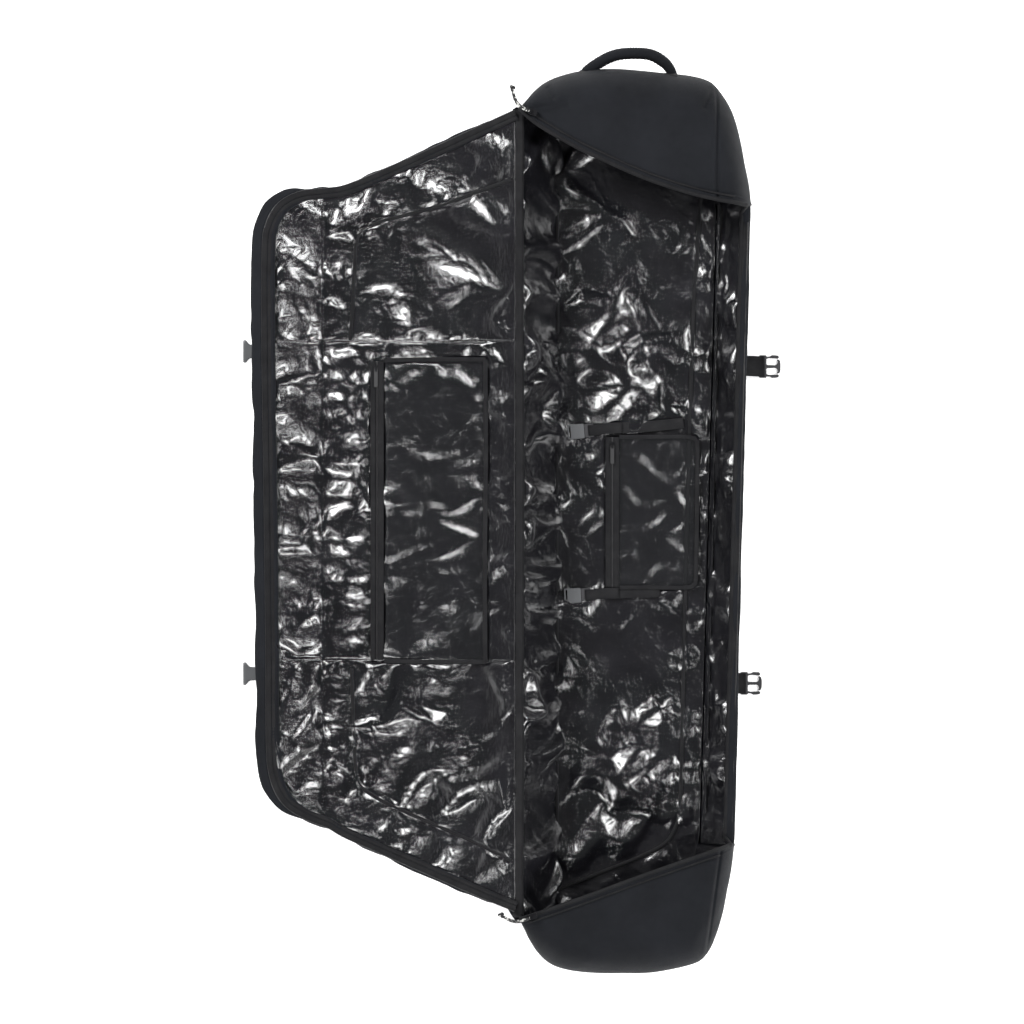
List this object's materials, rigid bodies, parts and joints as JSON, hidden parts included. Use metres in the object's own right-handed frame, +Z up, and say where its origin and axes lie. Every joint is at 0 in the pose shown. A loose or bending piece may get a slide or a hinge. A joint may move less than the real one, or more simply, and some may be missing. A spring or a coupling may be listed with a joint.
{
  "type": "snowboard bag",
  "caption": "Long padded snowboard bag lying open: tub with domed end caps, hinged lid with folding side wall, mesh pockets, straps, zips and a grab handle",
  "frame": {"origin": "under the middle of the bounding box, on the ground", "axes": "+Y points to the end with the grab handle, +Z is up, and the lid lies open towards -X"},
  "size_m": [0.9974, 1.712, 0.178],
  "materials": {
    "shell_fabric": "matte coated charcoal polyester weave",
    "lining_film": "glossy black coated film on a fine woven backing",
    "foam": "grey closed-cell foam",
    "binding": "matte black woven tape",
    "zip_tape": "black zip tape with a plastic coil",
    "mesh": "fine black mesh",
    "webbing": "black ribbed webbing",
    "buckle_plastic": "dark grey moulded acetal",
    "slider_metal": "black lacquered zip slider",
    "pull_cord": "black cord with light flecks",
    "pull_tab": "black moulded pull"
  },
  "bodies": {
    "base": {"floor_shell": "shell_fabric", "floor_foam": "foam", "floor_lining": "lining_film", "left_wall_shell": "shell_fabric", "left_wall_lining": "lining_film", "right_wall_shell": "shell_fabric", "right_wall_lining": "lining_film", "wall_foam": "foam", "top_cap_panel": "shell_fabric", "top_cap_side_panel": "shell_fabric", "top_cap_lining": "lining_film", "bottom_cap_panel": "shell_fabric", "bottom_cap_side_panel": "shell_fabric", "bottom_cap_lining": "lining_film", "mouth_binding": "binding", "base_zip_tape": "zip_tape", "hinge_binding": "binding", "floor_piping": "binding", "base_pocket_mesh": "mesh", "base_pocket_binding": "binding", "base_pocket_zip_tape": "zip_tape", "strap_webbing": "webbing", "upper_strap_female": "buckle_plastic", "lower_strap_female": "buckle_plastic", "handle_tabs": "webbing"},
    "lid": {"lid_shell": "shell_fabric", "lid_foam": "foam", "lid_lining": "lining_film", "lid_zip_edge": "zip_tape", "lid_piping": "binding", "lid_pocket_mesh": "mesh", "lid_pocket_binding": "binding", "lid_pocket_zip_tape": "zip_tape"},
    "lid_side": {"lid_side_shell": "shell_fabric", "lid_side_lining": "lining_film", "lid_side_zip_tape": "zip_tape", "female_tabs": "webbing"},
    "handle": {"handle_grip": "shell_fabric", "handle_core": "webbing"},
    "top_slider": {"top_main_slider": "slider_metal", "top_pull_cord": "pull_cord", "top_pull_knot": "pull_cord"},
    "bottom_slider": {"bottom_main_slider": "slider_metal", "bottom_pull_cord": "pull_cord", "bottom_pull_knot": "pull_cord"},
    "lid_slider": {"lid_pocket_slider": "slider_metal"},
    "lid_pull": {"lid_pocket_pull": "pull_tab"},
    "base_slider": {"base_pocket_slider": "slider_metal"},
    "base_pull": {"base_pocket_pull": "pull_tab"},
    "upper_male": {"upper_male_webbing": "webbing", "upper_male_buckle": "buckle_plastic"},
    "lower_male": {"lower_male_webbing": "webbing", "lower_male_buckle": "buckle_plastic"},
    "upper_female": {"upper_female_buckle": "buckle_plastic"},
    "lower_female": {"lower_female_buckle": "buckle_plastic"},
    "upper_inner_male": {"upper_strap_male": "buckle_plastic", "upper_strap_tail": "webbing"},
    "lower_inner_male": {"lower_strap_male": "buckle_plastic", "lower_strap_tail": "webbing"}
  },
  "joints": [
    {"name": "lid_hinge", "type": "hinge", "parent": "base", "child": "lid", "pos_m": [0.01326, -0.004, 0.148], "axis": [0, 1, 0], "range_deg": [0, 197]},
    {"name": "side_wall_fold", "type": "hinge", "parent": "lid", "child": "lid_side", "pos_m": [-0.35074, -0.004, 0.012], "axis": [0, 1, 0], "range_deg": [0, 28]},
    {"name": "handle_flop", "type": "hinge", "parent": "base", "child": "handle", "pos_m": [0.22026, 0.822, 0.092], "axis": [1, 0, 0], "range_deg": [-50, 60]},
    {"name": "top_slider_run", "type": "slide", "parent": "base", "child": "top_slider", "axis": [0.9215, -0.3884, 0], "range_m": [0, 0.3]},
    {"name": "bottom_slider_run", "type": "slide", "parent": "base", "child": "bottom_slider", "axis": [0.9413, 0.3375, 0], "range_m": [0, 0.27]},
    {"name": "lid_slider_run", "type": "slide", "parent": "lid", "child": "lid_slider", "axis": [0, -1, 0], "range_m": [0, 0.525]},
    {"name": "lid_pull_flop", "type": "hinge", "parent": "lid_slider", "child": "lid_pull", "pos_m": [-0.2516, 0.261, 0.04199], "axis": [-0.9685, 0, -0.2492], "range_deg": [0, 150]},
    {"name": "base_slider_run", "type": "slide", "parent": "base", "child": "base_slider", "axis": [0, -1, 0], "range_m": [0, 0.222]},
    {"name": "base_pull_flop", "type": "hinge", "parent": "base_slider", "child": "base_pull", "pos_m": [0.18626, 0.119, 0.0208], "axis": [-1, 0, 0], "range_deg": [0, 150]},
    {"name": "upper_male_flop", "type": "hinge", "parent": "base", "child": "upper_male", "pos_m": [0.40524, 0.266, 0.0292], "axis": [0, -1, 0], "range_deg": [0, 26]},
    {"name": "lower_male_flop", "type": "hinge", "parent": "base", "child": "lower_male", "pos_m": [0.38959, -0.322, 0.0292], "axis": [0, -1, 0], "range_deg": [0, 30]},
    {"name": "upper_female_flop", "type": "hinge", "parent": "lid_side", "child": "upper_female", "pos_m": [-0.46424, 0.294, 0.0018], "axis": [0, 1, 0], "range_deg": [0, 10]},
    {"name": "lower_female_flop", "type": "hinge", "parent": "lid_side", "child": "lower_female", "pos_m": [-0.46424, -0.304, 0.0018], "axis": [0, 1, 0], "range_deg": [0, 10]},
    {"name": "upper_strap_slide", "type": "slide", "parent": "base", "child": "upper_inner_male", "axis": [0.9969, 0.0785, 0], "range_m": [0, 0.03]},
    {"name": "lower_strap_slide", "type": "slide", "parent": "base", "child": "lower_inner_male", "axis": [0.9986, 0.0523, 0], "range_m": [0, 0.03]}
  ]
}
